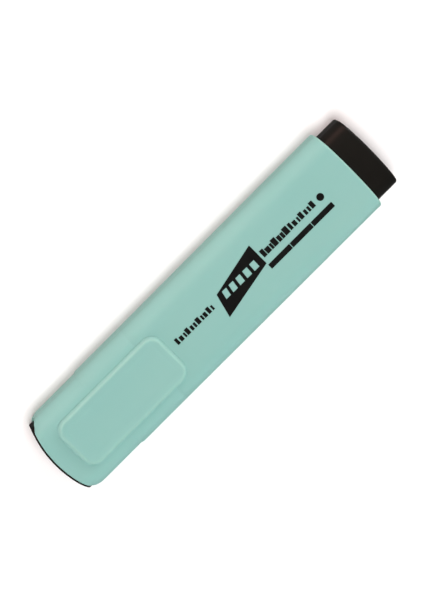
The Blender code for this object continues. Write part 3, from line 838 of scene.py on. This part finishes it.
def add_marks(bm, start_x, end_x, base_y, height, weight, count):
    """A row of plain marks, in uneven widths and two heights, that stands for a line of small print."""
    widths = [1.0 + MARK_UNEVENNESS * math.sin(MARK_RHYTHM * i) for i in range(count)]
    scale = (end_x - start_x) / sum(widths)
    x = start_x
    for i, width in enumerate(widths):
        rise = TALL_MARK if i % TALL_MARK_EVERY == 0 else 1.0
        add_block(bm, (x, x + width * scale * weight), (base_y, base_y + height * rise))
        x += width * scale


def make_print():
    """Plain marks, a panel, a dot and bars, in the places of the print."""
    bm = bmesh.new()
    for row in MARK_ROWS:
        add_marks(bm, *row)
    add_panel(bm)
    add_dot(bm, DOT_CENTRE, DOT_RADIUS)
    for x_span in BAR_SPANS:
        add_block(bm, x_span, (BAR_Y - BAR_HEIGHT / 2, BAR_Y + BAR_HEIGHT / 2))
    finish_piece(mesh_object("barrel_print", bm), "pen", [], ink)


def add_panel(bm):
    """A plain slanted panel with a row of plain windows that the barrel shows through."""
    low_end, high_end = PANEL_X
    window_pitch = (high_end - low_end - 2 * PANEL_MARGIN) / PANEL_WINDOWS
    places = [0.0]
    for i in range(PANEL_WINDOWS):
        left = PANEL_MARGIN + window_pitch * i
        places += [left + window_pitch * share for share in WINDOW_SHARES]
    places.append(high_end - low_end)
    points = []
    for place in places:
        share = place / (high_end - low_end)
        middle = PANEL_Y[0] + (PANEL_Y[1] - PANEL_Y[0]) * share
        half = PANEL_HEIGHT / 2
        lean = PANEL_LEAN * (1 - share)
        for y in (middle - half, WINDOW_Y[0], WINDOW_Y[1], middle + half):
            points.append((low_end + place + lean * (y - middle), y))
    cells = []
    for column in range(len(places) - 1):
        for row in range(3):
            if row == 1 and column % 2 == 1:
                continue
            corner = column * 4 + row
            cells.append((corner, corner + 4, corner + 5, corner + 1))
    add_slab(bm, points, cells)


make_barrel()
make_rear_plug()
make_cap_shell()
make_cap_end_insert()
make_clip()
make_nib_section()
make_nib()
make_print()

for node, look in (("inner_cap", natural), ("ink_reservoir", filler), ("reservoir_film", clear_film)):
    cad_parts[node].data.materials.clear()
    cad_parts[node].data.materials.append(look)

# ---------------------------------------------------------------- floor, lights and camera

SENSOR = 0.036
LENS = 0.200
VIEW_LENGTH = 0.165746  # what the picture's long side spans at the pen
NEAREST = 0.01
FARTHEST = 20
VIEW_TILT = math.radians(10.7)  # of the view, from straight above towards +Y
ROLL = math.radians(45)  # of +X in the picture, from its right towards its top
AIM_RIGHT = 0.00036
AIM_UP = 0.00133
HORIZON_LEVEL = 3.0
ZENITH_LEVEL = 0.085
WORLD_FALL_END = 0.45  # height of a direction, as a sine, from which the world is as dim as overhead
FLOOR_REACH = 3.0
FLOOR_DROP = 0.0002  # keeps it clear of the pen's back
FLOOR_GLOW = 0.065
FLOOR_FAR_GLOW = 0.75  # it evens out the floor where the lights no longer reach
FLOOR_GLOW_REACH = (0.25, 1.1)  # from the middle, where the far glow starts and where it is full
DOME_RADIUS = 2.8
DOME_LEVEL = 0.13


def make_floor():
    """A matt white floor that gloss doesn't mirror."""
    bm = bmesh.new()
    bmesh.ops.create_grid(bm, x_segments=1, y_segments=1, size=FLOOR_REACH)
    floor = mesh_object("floor", bm)
    floor.location.z = -FLOOR_DROP
    look = Nodes("floor_look")
    look.shader.inputs["Base Color"].default_value = (*FLOOR_WHITE, 1)
    look.shader.inputs["Roughness"].default_value = 0.9
    look.shader.inputs["Emission Color"].default_value = (*WHITE, 1)
    far_off = look.tree.nodes.new("ShaderNodeVectorMath")
    far_off.operation = "LENGTH"
    look.link(look.place, far_off.inputs[0])
    glow = look.ranged(far_off.outputs["Value"], FLOOR_GLOW, FLOOR_FAR_GLOW, *FLOOR_GLOW_REACH)
    look.link(glow, look.shader.inputs["Emission Strength"])
    look.shader.inputs["Specular IOR Level"].default_value = 0.0
    floor.data.materials.append(look.material)
    floor.visible_glossy = False


def area_light(name, place, size, watts, colour=WHITE):
    """A rectangular light that points at the middle of the pen."""
    light = bpy.data.lights.new(name, "AREA")
    light.shape = "RECTANGLE"
    light.size, light.size_y = size
    light.energy = watts
    light.color = colour
    obj = bpy.data.objects.new(name, light)
    bpy.context.scene.collection.objects.link(obj)
    obj.location = place
    towards = Vector((0, 0, mid_z)) - Vector(place)
    obj.rotation_euler = towards.to_track_quat("-Z", "Y").to_euler()
    return obj


def make_world():
    """A studio that is bright at the horizon and dim overhead. Gloss mirrors the dome instead of it."""
    world = bpy.data.worlds.new("studio")
    bpy.context.scene.world = world
    world.cycles_visibility.glossy = False
    world.use_nodes = True
    tree = world.node_tree
    background = tree.nodes["Background"]
    background.inputs["Color"].default_value = (*WHITE, 1)
    direction = tree.nodes.new("ShaderNodeTexCoord")
    split = tree.nodes.new("ShaderNodeSeparateXYZ")
    fall = tree.nodes.new("ShaderNodeMapRange")
    fall.inputs["From Min"].default_value = 0.0
    fall.inputs["From Max"].default_value = WORLD_FALL_END
    fall.inputs["To Min"].default_value = HORIZON_LEVEL
    fall.inputs["To Max"].default_value = ZENITH_LEVEL
    tree.links.new(direction.outputs["Generated"], split.inputs["Vector"])
    tree.links.new(split.outputs["Z"], fall.inputs["Value"])
    tree.links.new(fall.outputs["Result"], background.inputs["Strength"])


def make_dome():
    """A dim dome that only gloss sees, so that the black pieces keep their shape."""
    bm = bmesh.new()
    bmesh.ops.create_icosphere(bm, subdivisions=3, radius=DOME_RADIUS)
    dome = mesh_object("reflection_dome", bm)
    look = bpy.data.materials.new("dome_look")
    look.use_nodes = True
    look.cycles.emission_sampling = "NONE"
    shader = look.node_tree.nodes["Principled BSDF"]
    shader.inputs["Base Color"].default_value = (*BLACK, 1)
    shader.inputs["Specular IOR Level"].default_value = 0.0
    shader.inputs["Emission Color"].default_value = (*WHITE, 1)
    shader.inputs["Emission Strength"].default_value = DOME_LEVEL
    dome.data.materials.append(look)
    dome.visible_camera = False
    dome.visible_diffuse = False
    dome.visible_transmission = False
    dome.visible_shadow = False


def make_lights():
    """A key light overhead that gloss doesn't mirror, a warm one beyond the pen and a fill at its end."""
    key = area_light("key", place=(-0.08, -0.08, 0.95), size=(0.34, 0.34), watts=7.4)
    key.visible_glossy = False
    warm = (1.0, 0.52, 0.44)
    area_light("warm_side", place=(0.0, 0.55, 0.42), size=(1.0, 0.40), watts=1.65, colour=warm)
    area_light("end_fill", place=(0.60, 0.12, 0.30), size=(0.40, 0.20), watts=1.17)


def make_camera():
    """A long lens that looks down on the pen, slightly tilted, with the pen at 45 degrees."""
    camera = bpy.data.cameras.new("camera")
    camera.sensor_width = SENSOR / MM
    camera.lens = LENS / MM
    camera.clip_start = NEAREST
    camera.clip_end = FARTHEST
    towards = Vector((0, math.sin(VIEW_TILT), math.cos(VIEW_TILT)))
    along = Vector((1, 0, 0))
    across = towards.cross(along)
    right = math.cos(ROLL) * along - math.sin(ROLL) * across
    up = math.sin(ROLL) * along + math.cos(ROLL) * across
    distance = LENS / SENSOR * VIEW_LENGTH
    place = Vector((0, 0, mid_z)) + towards * distance + right * AIM_RIGHT + up * AIM_UP
    obj = bpy.data.objects.new("camera", camera)
    bpy.context.scene.collection.objects.link(obj)
    turn = Matrix((right, up, towards)).transposed()
    obj.matrix_world = Matrix.Translation(place) @ turn.to_4x4()
    bpy.context.scene.camera = obj


make_floor()
make_world()
make_dome()
make_lights()
make_camera()
bpy.context.scene.view_settings.view_transform = "Standard"
